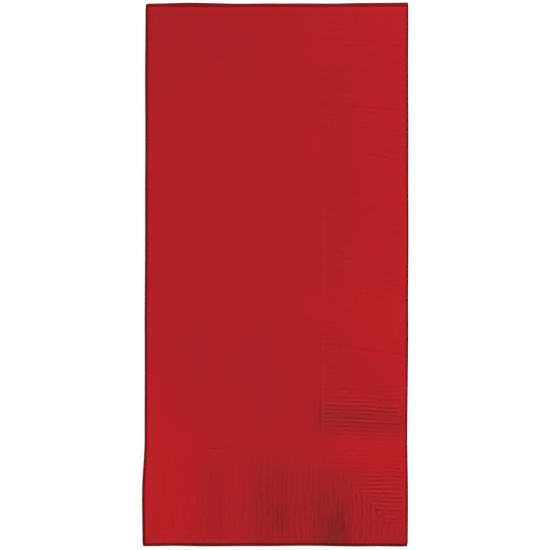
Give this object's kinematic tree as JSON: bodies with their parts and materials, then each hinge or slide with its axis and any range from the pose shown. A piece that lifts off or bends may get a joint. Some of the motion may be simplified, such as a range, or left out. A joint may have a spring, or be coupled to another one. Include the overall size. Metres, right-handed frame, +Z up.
{
  "type": "paper napkin",
  "caption": "Square-cut red paper dinner napkin with a pressed coin-edge border, folded back and forth and once across into a flat tall rectangle.",
  "frame": {"origin": "under the middle of the folded stack, on the surface it lies on", "axes": "+X across the stack towards the sheet's cut side on the top layer, +Y along it towards the cross fold, +Z up through the layers"},
  "size_m": [0.0996, 0.2032, 0.0101],
  "materials": {
    "tissue": "matte two-ply tissue, dyed red"
  },
  "bodies": {
    "root": {"napkin": "tissue"}
  },
  "joints": []
}
